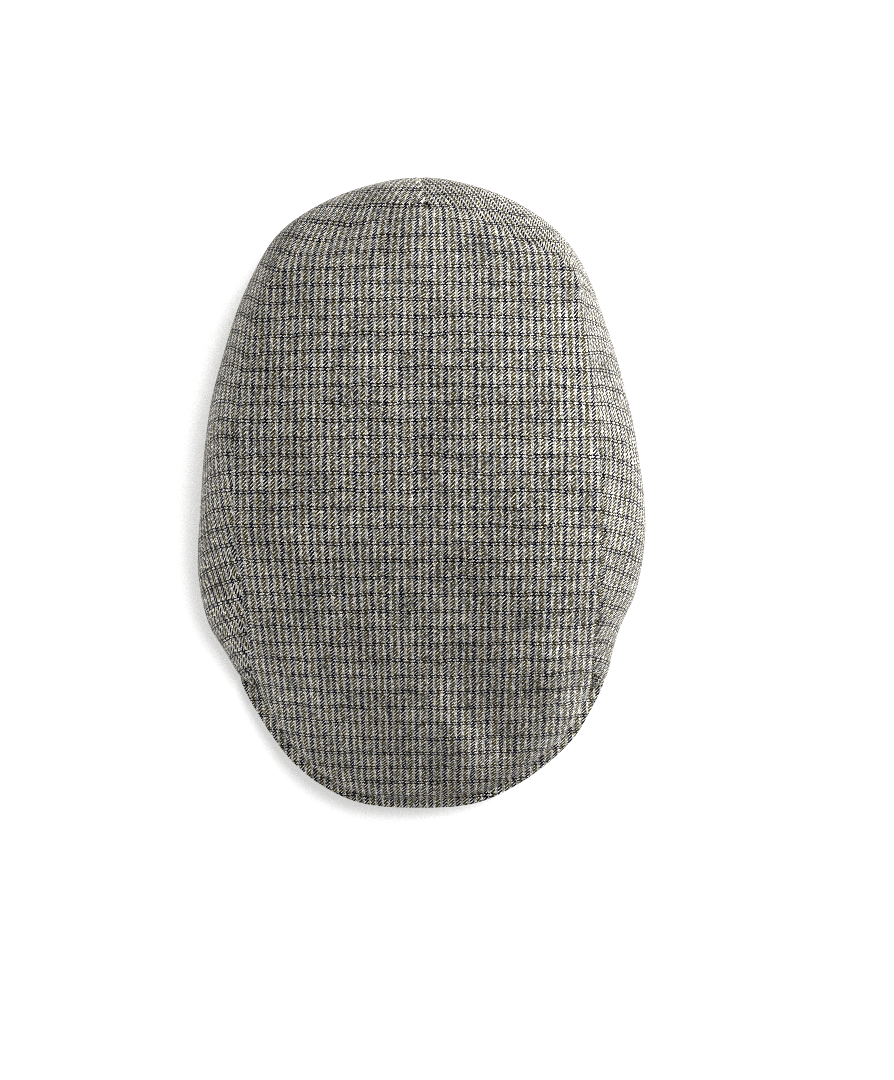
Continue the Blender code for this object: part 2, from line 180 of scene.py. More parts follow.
# the same for the peak's outer edge, in front of a side panel's tip and behind it
peakFrontRows = (
    (-1.000, 0.000, 0.000, 1.00), (-0.985, 0.270, 0.248, 0.98), (-0.928, 0.450, 0.430, 0.90),
    (-0.854, 0.580, 0.580, 0.79), (-0.778, 0.667, 0.690, 0.68), (-0.701, 0.740, 0.758, 0.57),
    (-0.643, 0.788, 0.802, 0.49),
)
peakRearRows = (
    (-0.607, 0.811, 0.822, 0.43), (-0.525, 0.820, 0.826, 0.33), (-0.385, 0.802, 0.802, 0.21),
    (-0.245, 0.758, 0.758, 0.13),
)


def peakSide(side):
    # outer and inner edge of the peak's middle surface on one side, from the middle to its end
    front = edgePoints(peakFrontRows, side, peak["frontHeight"])
    rear = edgePoints(peakRearRows, side, peak["frontHeight"])
    mirror = (-front[1][0], front[1][1], front[1][2])
    whole = smoothCurve([mirror] + front + rear)[curveSteps:]
    tip = (len(front) - 1) * curveSteps
    ahead = evenPoints(whole[:tip + 1], peak["frontColumns"])
    behind = evenPoints(whole[tip:], peak["rearColumns"])
    outer = np.vstack([ahead, behind[1:]])
    # the inner edge runs on the oval, at the same shares as in the solids
    tipStation, endStation = peak["stations"]
    shares = np.concatenate([np.linspace(0, tipStation, peak["frontColumns"] + 1),
                             np.linspace(tipStation, endStation, peak["rearColumns"] + 1)[1:]]) / endStation
    endAngle = rimAngleAt(outer[-1][1])
    endHeight = outer[-1][2]
    inner = np.array([rimPoint(endAngle * share, side) for share in shares])
    arch = np.cos(shares * math.pi / 2).clip(0) ** peak["arch"]
    inner[:, 2] = endHeight + (peak["innerHeight"] - endHeight) * arch
    outerRun = np.gradient(outer, axis=0) * side
    innerRun = np.gradient(inner, axis=0) * side
    outerRun[0] = innerRun[0] = (1.0, 0.0, 0.0)
    return {"side": side, "outer": outer, "inner": inner,
            "outerRun": unit(outerRun), "innerRun": unit(innerRun),
            "lip": peak["leftLip"] if side == left else peak["rightLip"]}


def peakPlace(form, inset, lift):
    # points at a distance in from the outer edge and above the middle surface, one for each station
    inward = form["inner"] - form["outer"]
    width = norm(inward, axis=1, keepdims=True)
    inward = inward / width
    inset = np.asarray(inset, float).reshape(-1, 1)
    share = inset / width
    run = unit(form["outerRun"] * (1 - share) + form["innerRun"] * share)
    up = unit(np.cross(run, inward))
    return form["outer"] + inward * inset + up * lift


def peakSeat(form, cover):
    # where a panel's outer face stands on the peak, past its lip, with a cover's height added
    ahead = peak["frontColumns"]
    behind = peak["rearColumns"]
    share = np.concatenate([np.linspace(0, 1, ahead + 1) ** 2, np.linspace(1, 0, behind + 1)[1:]])
    lip = peak["frontLip"] + (form["lip"] - peak["frontLip"]) * share
    seat = peakPlace(form, lip, peak["thickness"] / 2)
    seat[:, 2] += cap["seamGap"] + cover
    return seat


# seams and edges of the panels, shared by the pieces that meet there
panel = {
    "seamColumns": 300,         # along each side seam, from the tip to the back
    "peakEnd": 70,              # the first of them stand on the peak
    "stepEnd": 80,              # and the next step down to the table
    "cornerColumn": 210,        # where the seam turns to run across the back
    "upperRows": 24,            # side panel, above its widest line
    "lowerRows": 40,            # and below it
    "roll": 0.0030,             # drop of the top panel's front edge on to the peak
    "rollWidth": 0.009,
    "thinned": 0.0017,          # of its wall, which the top panel loses at its front edge
    "seamDepth": 0.00040,       # groove along every seam
    "seamWidth": 0.0011,
    "seamOpening": 0.00006,     # each piece is drawn back from its seams by this
    "seamFade": ((0.42, 0.60), (1.0, 0.12)),    # shares of a side seam's length, shares of the relief
    "backSeamShare": 0.25,      # of the relief, below the widest line of the back seam
    "backSeamEdge": 0.02,       # beside the back seam the deeper groove holds, down to this weight
    "normalBlend": 0.006,       # two pieces lean to one normal at their seam, over this width
    "dimple": 0.0012,           # where the three panels meet
    "dimpleWidth": 0.0022,
    "ridge": 0.00016,           # the turned-in edges lie under the cloth beside the seam
    "ridgeAt": 0.0042,
    "ridgeWidth": 0.0026,
    "pucker": 0.00022,
    "puckerReach": 0.0055,
    "puckerWaves": ((1.0, 0.0071, 0.6), (0.7, 0.0112, 2.1), (0.5, 0.0047, 4.0)),    # size, length, start
    "puckerStart": {left: 0.0, right: 0.7, "back": 0.3},    # so that no two seams ripple alike
    "shoulder": 0.0013,
    "shoulderRun": (0.08, 0.22, 0.58, 0.74),    # shares of the right seam
    "shoulderWidth": 0.010,
    "edgeRounding": 0.0002,
    "dentDepth": 0.0017,
    # slow waves: height, turns across and along, start
    "swells": ((0.00016, 61, 23, 0.4), (0.00013, -38, 71, 1.9),
               (0.00010, 118, 44, 3.1), (0.00008, 57, -133, 5.0)),
    "sideSwell": (1.3, 1.7),    # the side panels' waves are this much closer
}


def seamLine(form):
    # edge of the top panel on one side: on the peak, then along the seam to the back
    ahead = peak["frontColumns"]
    rise = cap["tipHeight"] * np.linspace(0, 1, ahead + 1) ** 3
    cover = np.full(len(form["outer"]), cap["cloth"])
    cover[:ahead + 1] += rise
    onFront = peakSeat(form, cover)[:ahead + 1]
    rows = [onFront[-1]] + edgePoints(seamRows, form["side"], cap["height"])
    behind = evenPoints(smoothCurve(rows, levelEnd=True), panel["seamColumns"])
    return onFront, behind


def sideLines(form, seam):
    # widest line and foot of a side panel, with a point for each column
    inward = form["inner"] - form["outer"]
    slope = (inward[:, 2] / norm(inward[:, :2], axis=1)).clip(0)
    onPeak = peakSeat(form, cap["cloth"] * slope)[peak["frontColumns"]:]
    startAngle = rimAngleAt(onPeak[-1][1] + cap["rimStep"])
    peakEnd, stepEnd = panel["peakEnd"], panel["stepEnd"]
    first = evenPoints(onPeak, peakEnd)
    angles = np.linspace(startAngle, math.pi, panel["seamColumns"] - stepEnd + 1)
    last = np.array([rimPoint(angle, form["side"]) for angle in angles])
    share = np.linspace(0, 1, stepEnd - peakEnd + 1)[1:-1, None]
    ease = eased(share)
    step = first[-1] * (1 - share) + last[0] * share
    step[:, 2:] = first[-1][2] * (1 - ease) + last[0][2] * ease
    foot = np.vstack([first, step, last])
    tip = (seam[0] + foot[0]) / 2
    rows = [tip] + edgePoints(browRows, form["side"], cap["height"])
    brow = evenPoints(smoothCurve(rows, levelEnd=True), panel["seamColumns"])
    return brow, foot


def sideSurface(seam, brow, foot):
    # section of a side panel at every column, from the seam out to its widest place and in to the foot
    rows = []
    sweep = cap["shoulderSweep"]
    for row in range(panel["upperRows"]):
        turn = sweep * (1 - row / panel["upperRows"])
        rise = math.sin(turn) / math.sin(sweep)
        inset = (1 - math.cos(turn)) / (1 - math.cos(sweep))
        plan = brow[:, :2] + (seam[:, :2] - brow[:, :2]) * inset
        rows.append(np.column_stack([plan, brow[:, 2] + (seam[:, 2] - brow[:, 2]) * rise]))
    for row in range(panel["lowerRows"] + 1):
        drop = row / panel["lowerRows"]
        inset = eased(drop)
        plan = brow[:, :2] + (foot[:, :2] - brow[:, :2]) * inset
        rows.append(np.column_stack([plan, brow[:, 2] + (foot[:, 2] - brow[:, 2]) * drop]))
    return np.stack(rows, axis=1)       # columns, rows, xyz


# across and along the half sizes, half length and half width of the dent, turn, height
dentRows = (
    (0.08, -0.70, 0.18, 0.085, -60, 1.9),
    (0.28, -0.64, 0.20, 0.090, -66, -1.9),
    (0.57, -0.61, 0.16, 0.075, 87, 1.4),
    (-0.11, -0.79, 0.14, 0.090, -61, -0.8),
    (0.02, 0.72, 0.17, 0.170, 90, 0.7),
)


def dents(x, y):
    total = np.zeros_like(x)
    for across, along, long, wide, turn, height in dentRows:
        angle = math.radians(turn)
        stepX = x - across * halfWidth
        stepY = y - along * halfLength
        lengthwise = stepX * math.cos(angle) + stepY * math.sin(angle)
        sideways = stepY * math.cos(angle) - stepX * math.sin(angle)
        fall = (lengthwise / (long * halfLength)) ** 2 + (sideways / (wide * halfWidth)) ** 2
        total += height * panel["dentDepth"] * np.exp(-fall)
    return total


def swell(x, y):
    # slow, shallow waves that any soft cloth keeps
    total = np.zeros_like(x)
    for height, across, along, start in panel["swells"]:
        total += height * np.sin(across * x + along * y + start)
    return total


def puckers(run, reach):
    # short ripples that the stitches pull along a seam, fading with distance from it
    ripple = np.zeros_like(run)
    for size, length, start in panel["puckerWaves"]:
        ripple += size * np.sin(run * 2 * math.pi / length + start)
    return panel["pucker"] * ripple * np.exp(-reach / panel["puckerReach"])


def seamRelief(run, reach):
    groove = -panel["seamDepth"] * np.exp(-(reach / panel["seamWidth"]) ** 2)
    ridge = panel["ridge"] * np.exp(-((reach - panel["ridgeAt"]) / panel["ridgeWidth"]) ** 2)
    return groove + ridge + puckers(run, reach)


def shoulder(share, reach, width):
    # the right seam stands up a little, so the top panel stays flat right up to it
    start, full, easing, end = panel["shoulderRun"]
    along = np.interp(share, (start, full, easing, end), (0, 1, 1, 0))
    return panel["shoulder"] * along * np.exp(-(reach / width) ** 2)


def dimple(points):
    # the small pucker where the three panels' seams meet at the back
    gap = norm(points - seams[left][-1], axis=-1)
    return -panel["dimple"] * np.exp(-(gap / panel["dimpleWidth"]) ** 2)


def gridNormals(points):
    # normals of a grid of points, columns by rows
    alongColumns = np.gradient(points, axis=0)
    alongRows = np.gradient(points, axis=1)
    return unit(np.cross(alongColumns, alongRows))


def nearest(points, line, chunk=4000):
    # distance from each point to the nearest point of a line, and that point's number
    flat = points.reshape(-1, points.shape[-1])
    gaps = np.empty(len(flat))
    which = np.empty(len(flat), int)
    for start in range(0, len(flat), chunk):
        part = flat[start:start + chunk]
        spans = ((part[:, None, :] - line[None, :, :]) ** 2).sum(2)
        which[start:start + chunk] = spans.argmin(1)
        gaps[start:start + chunk] = np.sqrt(spans.min(1))
    return gaps.reshape(points.shape[:-1]), which.reshape(points.shape[:-1])


forms = {side: peakSide(side) for side in sides}
fronts = {}
seams = {}
for side, form in forms.items():
    fronts[side], seams[side] = seamLine(form)

crestFront = fronts[left][0]
crestBack = seams[left][-1]
crest = smoothCurve([(0.0, crestFront[1], crestFront[2] + panel["roll"])]
                    + [(0.0, row[0] * halfLength, row[1] * cap["height"]) for row in crestRows]
                    + [(0.0, crestBack[1], crestBack[2])])
squareAt = [row[0] * halfLength for row in crestRows]
squareness = [row[2] for row in crestRows]


def topHeight(x, y, rollFade, rollShare):
    # height of the top panel; the last two say how near the front edge a point is, and how far out along it
    crestHeight = np.interp(y, crest[:, 1], crest[:, 2])
    square = np.interp(y, squareAt, squareness)
    reach = np.empty_like(x)
    border = np.empty_like(x)
    for side in sides:
        line = np.vstack([fronts[side], seams[side][1:]])
        mine = (x >= 0) if side == right else (x < 0)
        reach[mine] = np.interp(y[mine], line[:, 1], np.abs(line[:, 0]))
        border[mine] = np.interp(y[mine], line[:, 1], line[:, 2])
    roll = panel["roll"] * np.sqrt((1 - rollShare).clip(0))
    border = border + roll
    outward = (np.abs(x) / np.maximum(reach, cap["cloth"])).clip(0, 1)
    return crestHeight - (crestHeight - border) * outward ** square - roll * rollFade ** 2


def topSurface():
    # a four-sided patch: front edge, back edge and the two side seams
    corner = panel["cornerColumn"]
    frontEdge = np.vstack([fronts[left][::-1], fronts[right][1:]])
    backEdge = np.vstack([seams[left][corner:], seams[right][corner:-1][::-1]])
    leftEdge = seams[left][:corner + 1]
    rightEdge = seams[right][:corner + 1]
    a = np.linspace(0, 1, len(frontEdge))[:, None, None]
    b = np.linspace(0, 1, corner + 1)[None, :, None]
    patch = (1 - b) * frontEdge[:, None, :] + b * backEdge[:, None, :]
    patch = patch + (1 - a) * leftEdge[None, :, :] + a * rightEdge[None, :, :]
    patch = patch - ((1 - a) * (1 - b) * frontEdge[0] + a * (1 - b) * frontEdge[-1]
                     + (1 - a) * b * backEdge[0] + a * b * backEdge[-1])
    x, y = patch[..., 0].copy(), patch[..., 1].copy()
    frontGap, frontWhich = nearest(patch[..., :2], frontEdge[:, :2])
    fade = (1 - frontGap / panel["rollWidth"]).clip(0)
    share = np.abs(frontWhich - peak["frontColumns"]) / peak["frontColumns"]
    height = topHeight(x, y, fade, share)
    points = np.stack([x, y, height], axis=2)
    points[:, 0] = frontEdge
    points[:, -1] = backEdge
    points[0, :] = leftEdge
    points[-1, :] = rightEdge
    return points, fade


topPoints, topFade = topSurface()
sidePoints = {}
for side in sides:
    brow, foot = sideLines(forms[side], seams[side])
    sidePoints[side] = sideSurface(seams[side], brow, foot)
print("surfaces worked out")

# seam relief, and a normal at each seam that both pieces share
corner = panel["cornerColumn"]
topNormals = gridNormals(topPoints)
sideNormals = {side: -side * gridNormals(sidePoints[side]) for side in sides}


def topSeamIndex(side):
    # grid places of the top panel along one side's seam, from the tip to the back
    edge = 0 if side == left else topPoints.shape[0] - 1
    places = [(edge, row) for row in range(corner + 1)]
    count = panel["seamColumns"] - corner
    places += [(edge - side * step, corner) for step in range(1, count + 1)]
    return tuple(np.array(places).T)


seamIndex = {side: topSeamIndex(side) for side in sides}
seamNormals = {side: unit(topNormals[seamIndex[side]] + sideNormals[side][:, 0]) for side in sides}
backShared = unit(sideNormals[left][-1] + sideNormals[right][-1])
backTop = unit(seamNormals[left][-1] + seamNormals[right][-1])
for side in sides:
    seamNormals[side][-1] = backTop

seamShares = np.linspace(0, 1, panel["seamColumns"] + 1)
seamDepths = np.interp(seamShares, *panel["seamFade"])
seamRuns = {side: runAlong(seams[side]) + panel["puckerStart"][side] for side in sides}


def finishedTop():
    # the top panel's points with its relief, and its normals
    toSeam, which = nearest(topPoints, np.vstack([seams[left], seams[right]]))
    seamNormal = np.vstack([seamNormals[left], seamNormals[right]])[which]
    run = np.concatenate([seamRuns[left], seamRuns[right]])[which]
    weight = np.exp(-(toSeam / panel["normalBlend"]) ** 2)[..., None]
    normals = unit(topNormals * (1 - weight) + seamNormal * weight)
    x, y = topPoints[..., 0], topPoints[..., 1]
    relief = seamRelief(run, toSeam) * np.tile(seamDepths, 2)[which]
    relief += (1 - weight[..., 0]) * (swell(x, y) + (1 - topFade) * dents(x, y))
    relief += shoulder(np.tile(seamShares, 2)[which], toSeam, panel["shoulderWidth"]) * (x > 0)
    relief += dimple(topPoints)
    return topPoints + normals * relief[..., None], normals


def finishedSide(side):
    # the same for a side panel, which also has a seam at the back
    points, normals = sidePoints[side], sideNormals[side]
    across = runAcross(points)
    weight = np.exp(-(across / panel["normalBlend"]) ** 2)[..., None]
    normals = unit(normals * (1 - weight) + seamNormals[side][:, None, :] * weight)
    toBack = norm(points - points[-1][None, :, :], axis=2)
    backWeight = np.exp(-(toBack / panel["normalBlend"]) ** 2)[..., None]
    towards = backShared[None, :, :] * (1 - weight) + seamNormals[side][-1] * weight
    normals = unit(normals * (1 - backWeight) + towards * backWeight)
    nearTop = seamRelief(seamRuns[side][:, None], across) * seamDepths[:, None]
    lower = (np.arange(points.shape[1]) / panel["upperRows"]).clip(0, 1)[None, :]
    backRun = across[-1][None, :] + panel["puckerStart"]["back"]
    nearBack = seamRelief(backRun, toBack) * (1 - (1 - panel["backSeamShare"]) * lower)
    besideBack = backWeight[..., 0] > panel["backSeamEdge"]
    relief = np.where(besideBack, np.minimum(nearTop, nearBack), nearTop)
    far = (1 - weight[..., 0]) * (1 - backWeight[..., 0])
    closerAlong, closerUp = panel["sideSwell"]
    relief += far * swell(points[..., 1] * closerAlong, points[..., 2] * closerUp + points[..., 0])
    if side == right:
        relief += shoulder(seamShares[:, None], across, panel["shoulderWidth"] / 2)
    relief += dimple(points)
    return points + normals * relief[..., None], normals


topPoints, topNormals = finishedTop()
for side in sides:
    sidePoints[side], sideNormals[side] = finishedSide(side)
print("seams worked out")


# cloth places: metres across the warp and along it, for the weave
weave = {
    "warpPitch": 0.0004116,     # one warp yarn
    "pickPitch": 0.000386,      # one weft yarn
    "repeat": 16,               # warp yarns in a repeat: dark, pale, brown, pale
    "bars": ((0.0, "dark"), (5 / 16, "pale"), (8 / 16, "brown"), (13 / 16, "pale")),
    "pickRepeat": 20,           # weft yarns in a repeat, all pale but for the navy ones
    "lines": ((0.0, "navy"), (1 / 20, "weft"), (3 / 20, "navy"), (4 / 20, "weft")),
    "warpWander": 0.0006,       # how far a yarn strays from its straight line
    "pickWander": 0.0020,
    "warpWanderScale": 130,     # waves of that straying in a metre
    "pickWanderScale": 75,
    "uneven": 0.6,              # how differently the floats take the dye
    "cloudy": 0.5,              # how much soft clouds add to that
    "cloudScale": 55,
    "warmth": 0.27,             # spread from cool to warm floats
    "warmthShares": (0.35, 0.0, -1.0),      # of it, in red, green and blue
    "dark": (0.003, 0.005, 0.018, 1),
    "pale": (0.86, 0.84, 0.79, 1),
    "brown": (0.117, 0.097, 0.025, 1),
    "navy": (0.032, 0.038, 0.085, 1),
    "weft": (0.86, 0.845, 0.80, 1),
}
weaveAt = {
    "warpShift": 0.00296,
    "pickShift": 0.0014,
    "frontCurve": 0.15,         # how much the lines of the weft still bend over the front
    "curveFrom": -0.065,        # where along the cap that share is reached
    # the front stripes close up by this share for each metre forward of the next value
    "frontLean": {left: 1.1, right: 0.35},
    "leanFrom": -0.015,
    # places along the cap, how far the stripes keep their spacing as seen from above
    "stretched": ((0.030, 0.095), (1.0, 0.0)),
    "fieldAcross": (-0.092, 0.092, 369),        # the top's cloth is measured on this grid
    "fieldAlong": (-0.146, 0.132, 557),
    "steepest": 1.6,            # slopes along the cap count up to this
    "sideWarpShift": {left: 0.0021, right: 0.0043},
    "sidePickShift": {left: 0.0, right: 0.0035},
    "sideTurn": {left: -0.20, right: 0.25},     # grain of a side panel against its widest line
    "grainColumns": 20,         # the line's direction is taken over this many columns each way
    "sideShear": {left: -0.17, right: 0.13},    # its weft lines run down and forward
    "sideSpread": {left: 0.90, right: 1.0},
    "gatherFrom": 0.097,        # the top's stripes draw together from here to the back
    "gather": 145.0,
    "easedFrom": 0.068,         # and from here its weft lines lie further apart, by the next share
    "easedBy": 0.035,
    "eased": (0.36, 0.56),      # shares of a side seam between which the grain falls in with the top's
    # share of the seam, angle of the cloth's lie from straight back, beside the seam and further out
    "lie": {
        left: ((0.36, 78, 74), (0.56, 76, 70), (0.70, 62, 64),
               (0.80, 40, 55), (0.90, 22, 48), (1.00, 14, 46)),
        right: ((0.36, 76, 72), (0.56, 72, 66), (0.70, 50, 50),
                (0.80, 36, 40), (0.90, 22, 36), (1.00, 14, 34)),
    },
    "fullness": {left: 1.05, right: 1.30},      # extra cloth gathered over the edge at the back
    "lieReach": 0.004,
    # share of the seam, how far the side's stripes keep their spacing as seen from above
    "kept": {left: ((0.36, 0.70), (0.74, 0.70), (0.88, 0.0)), right: ((0.36, 0.0), (1.0, 0.0))},
}


def topCloth(points):
    xs = np.linspace(*weaveAt["fieldAcross"])
    ys = np.linspace(*weaveAt["fieldAlong"])
    gridX, gridY = np.meshgrid(xs, ys)
    zero = np.zeros_like(gridX)
    height = topHeight(gridX, gridY, zero, zero + 1)
    slopeX = np.gradient(height, xs, axis=1)
    slopeY = np.gradient(height, ys, axis=0)
    warp = np.cumsum(np.sqrt(1 + slopeX ** 2), axis=1) * (xs[1] - xs[0])
    warp -= warp[:, len(xs) // 2][:, None]
    slopeY = slopeY.clip(-weaveAt["steepest"], weaveAt["steepest"])
    pick = np.cumsum(np.sqrt(1 + slopeY ** 2), axis=0) * (ys[1] - ys[0])
    pick -= pick[len(ys) // 2][None, :]
    middle = pick[:, len(xs) // 2][:, None]
    ease = np.interp(gridY, (weaveAt["curveFrom"], 0.0), (weaveAt["frontCurve"], 1.0))
    pick = middle + (pick - middle) * ease
    warp += (gridX - warp) * np.interp(gridY, *weaveAt["stretched"])
    forward = (weaveAt["leanFrom"] - gridY).clip(0)
    lean = np.where(gridX < 0, weaveAt["frontLean"][left], weaveAt["frontLean"][right])
    warp *= 1 + lean * forward
    centre = crestBack[0]
    gather = 1 + weaveAt["gather"] * (gridY - weaveAt["gatherFrom"]).clip(0) ** 2
    warp = centre + (warp - centre) * gather
    pick = pick - weaveAt["easedBy"] * (gridY - weaveAt["easedFrom"]).clip(0)
    warp += weaveAt["warpShift"]
    pick += weaveAt["pickShift"]
    return np.stack([sampled(warp, xs, ys, points), sampled(pick, xs, ys, points)], axis=-1)


def sampled(field, xs, ys, points):
    # bilinear reading of a field at the points' places
    px = ((points[..., 0] - xs[0]) / (xs[1] - xs[0])).clip(0, len(xs) - 1.001)
    py = ((points[..., 1] - ys[0]) / (ys[1] - ys[0])).clip(0, len(ys) - 1.001)
    ix, iy = px.astype(int), py.astype(int)
    fx, fy = px - ix, py - iy
    low = field[iy, ix] * (1 - fx) + field[iy, ix + 1] * fx
    high = field[iy + 1, ix] * (1 - fx) + field[iy + 1, ix + 1] * fx
    return low * (1 - fy) + high * fy


def unrolled(top, bottom, side):
    # flat places of a strip's two edges, laid out triangle by triangle
    flatTop = [np.array((0.0, 0.0))]
    flatBottom = [np.array((side * norm(bottom[0] - top[0]), 0.0))]
    for index in range(1, len(top)):
        topEnd, bottomStart, bottomEnd = top[index], bottom[index - 1], bottom[index]
        flatTop.append(meet(flatTop[-1], flatBottom[-1], norm(topEnd - top[index - 1]),
                            norm(topEnd - bottomStart), side))
        flatBottom.append(meet(flatTop[-1], flatBottom[-1], norm(bottomEnd - topEnd),
                               norm(bottomEnd - bottomStart), side))
    return np.array(flatTop), np.array(flatBottom)


def meet(first, second, fromFirst, fromSecond, hand):
    # the point at two distances from two others, on one hand of the line between them
    line = second - first
    span = max(norm(line), 1e-9)
    line = line / span
    along = (fromFirst ** 2 - fromSecond ** 2 + span ** 2) / (2 * span)
    off = math.sqrt(max(fromFirst ** 2 - along ** 2, 0.0))
    return first + line * along - hand * off * np.array((line[1], -line[0]))


def spin(vectors, angle):
    # turned anticlockwise
    x, y = vectors[..., 0], vectors[..., 1]
    cosine, sine = math.cos(angle), math.sin(angle)
    return np.stack([x * cosine - y * sine, x * sine + y * cosine], axis=-1)


def carriedOver(points, across, side):
    # places that go on over the seam from the top panel's
    edge = clothPlaces["top"][seamIndex[side]]
    shares, beside, beyond = np.array(weaveAt["lie"][side]).T
    along = np.linspace(0, 1, len(across))
    beside = np.radians(np.interp(along, shares, beside))[:, None]
    beyond = np.radians(np.interp(along, shares, beyond))[:, None]
    steps = np.diff(across, axis=1)
    flatSteps = norm(np.diff(points[..., :2], axis=1), axis=2)
    toBrow = (np.arange(steps.shape[1]) / panel["upperRows"]).clip(0, 1)[None, :]
    kept = np.interp(along, *np.array(weaveAt["kept"][side]).T)[:, None]
    steps += (flatSteps - steps) * kept * (1 - toBrow ** 3)
    steps[:, :panel["upperRows"]] *= weaveAt["fullness"][side]
    middle = (across[:, 1:] + across[:, :-1]) / 2
    lie = beyond + (beside - beyond) * np.exp(-middle / weaveAt["lieReach"])
    moves = np.stack([side * np.sin(lie) * steps, np.cos(lie) * steps], axis=-1)
    return np.concatenate([edge[:, None, :], edge[:, None, :] + np.cumsum(moves, axis=1)], axis=1)


def nearestRepeat(gap, repeat):
    return np.rint(gap / repeat) * repeat


def sideCloth(points, side):
    seam, brow = points[:, 0], points[:, panel["upperRows"]]
    flatSeam, flatBrow = unrolled(seam, brow, side)
    across = runAcross(points)
    toBrow = across[:, panel["upperRows"]][:, None]
    outward = unit(flatBrow - flatSeam)
    share = across / np.maximum(toBrow, 1e-6)
    inner = flatSeam[:, None, :] * (1 - share[..., None]) + flatBrow[:, None, :] * share[..., None]
    beyond = flatBrow[:, None, :] + outward[:, None, :] * (across - toBrow)[..., None]
    flat = np.where((share <= 1)[..., None], inner, beyond)
    # the warp runs beside the widest line at the middle of the panel
    place = panel["seamColumns"] // 2
    run = flatBrow[place + weaveAt["grainColumns"]] - flatBrow[place - weaveAt["grainColumns"]]
    turn = math.atan2(run[0], run[1]) + weaveAt["sideTurn"][side]
    spun = spin(flat, turn)
    spun[..., 0] *= weaveAt["sideSpread"][side]
    spun[..., 1] += spun[..., 0] * weaveAt["sideShear"][side]
    spun[..., 0] += weaveAt["sideWarpShift"][side]
    spun[..., 1] += weaveAt["sidePickShift"][side]
    # at the back the two panels were cut to match
    carried = carriedOver(points, across, side)
    start, end = weaveAt["eased"]
    share = ((np.linspace(0, 1, len(points)) - start) / (end - start)).clip(0, 1)
    share = eased(share)[:, None, None]
    middle = round(panel["seamColumns"] * (start + end) / 2)
    gap = carried[middle, 0] - spun[middle, 0]
    gap[0] = nearestRepeat(gap[0], weave["warpPitch"] * weave["repeat"])
    gap[1] = nearestRepeat(gap[1], weave["pickPitch"] * weave["pickRepeat"])
    return (spun + gap) * (1 - share) + carried * share


clothPlaces = {"top": topCloth(topPoints)}
for side in sides:
    clothPlaces[side] = sideCloth(sidePoints[side], side)


# pieces
def clearSelection():
    if bpy.context.mode != "OBJECT":
        bpy.ops.object.mode_set(mode="OBJECT")
    bpy.ops.object.select_all(action="DESELECT")


def readAll(items, name, width, kind=np.float32):
    # one row of values for each vertex or face corner
    values = np.empty(len(items) * width, kind)
    items.foreach_get(name, values)
    return values.reshape(-1, width)


def writeAll(items, name, values):
    items.foreach_set(name, values.astype(np.float32).ravel())


def cornerVerts(mesh):
    # the vertex at each face corner
    return readAll(mesh.loops, "vertex_index", 1, np.int32)[:, 0]


def turnedEdges(mesh, points, normals, places, thickness):
    # the weave goes on over the cut edges, in place of being drawn out across them
    border, inward = [], []
    columns, rows = points.shape[:2]
    for column in range(columns):
        border += [(column, 0), (column, rows - 1)]
        inward += [(column, 1), (column, rows - 2)]
    for row in range(rows):
        border += [(0, row), (columns - 1, row)]
        inward += [(1, row), (columns - 2, row)]
    border = tuple(np.array(border).T)
    inward = tuple(np.array(inward).T)
    outDirections = unit(places[border] - places[inward])
    tree = KDTree(len(border[0]))
    for number, point in enumerate(points[border]):
        tree.insert(Vector(point), number)
    tree.balance()
    place = readAll(mesh.vertices, "co", 3)
    which = np.array([tree.find(Vector(point))[1] for point in place])
    away = place - points[border][which]
    wall = -normals[border][which]
    depth = (away * wall).sum(1).clip(0, thickness)
    beside = norm(away - wall * depth[:, None], axis=1)
    moves = outDirections[which] * (depth * np.exp(-(beside / thickness) ** 2))[:, None]
    uvData = mesh.uv_layers["clothPlace"].data
    writeAll(uvData, "uv", readAll(uvData, "uv", 2) + moves[cornerVerts(mesh)])


def clothPiece(name, points, normals, places, thickness, rounding, flip=False):
    # a grid takes the surface's shape, gets its wall, and its cut edges are rounded
    clearSelection()
    columns, rows = points.shape[0] - 1, points.shape[1] - 1
    bpy.ops.mesh.primitive_grid_add(x_subdivisions=columns, y_subdivisions=rows, size=1, location=(0, 0, 0))
    piece = bpy.context.active_object
    piece.name = name
    piece.data.name = name
    mesh = piece.data
    start = readAll(mesh.vertices, "co", 3)
    column = np.rint((start[:, 0] + 0.5) * columns).astype(int)
    row = np.rint((start[:, 1] + 0.5) * rows).astype(int)
    outer = points[column, row]
    writeAll(mesh.vertices, "co", outer)
    uvLayer = mesh.uv_layers.active
    uvLayer.name = "clothPlace"
    writeAll(uvLayer.data, "uv", places[column, row][cornerVerts(mesh)])
    if flip:
        mesh.flip_normals()
    mesh.update()
    wall = piece.modifiers.new("wall", "SOLIDIFY")
    wall.thickness = cap["cloth"]
    wall.offset = -1
    bpy.ops.object.modifier_apply(modifier=wall.name)
    # the inner face takes each place's own thickness
    thick = np.broadcast_to(thickness, points.shape[:2])
    inner = outer - normals[column, row] * thick[column, row][:, None]
    writeAll(mesh.vertices, "co", np.vstack([outer, inner]))
    mesh.update()
    bevel = piece.modifiers.new("rounded edges", "BEVEL")
    bevel.width = rounding
    bevel.segments = cap["edgeSegments"]
    bevel.limit_method = "ANGLE"
    bevel.angle_limit = cap["edgeAngle"]
    bevel.use_clamp_overlap = True
    bpy.ops.object.modifier_apply(modifier=bevel.name)
    bpy.ops.object.shade_smooth()
    turnedEdges(mesh, points, normals, places, thick.max())
    return piece


def openSeams(points, edges):
    # draws the last rows back from the seams
    for edge, inward in edges:
        points[edge] += unit(points[inward] - points[edge]) * panel["seamOpening"]
    return points


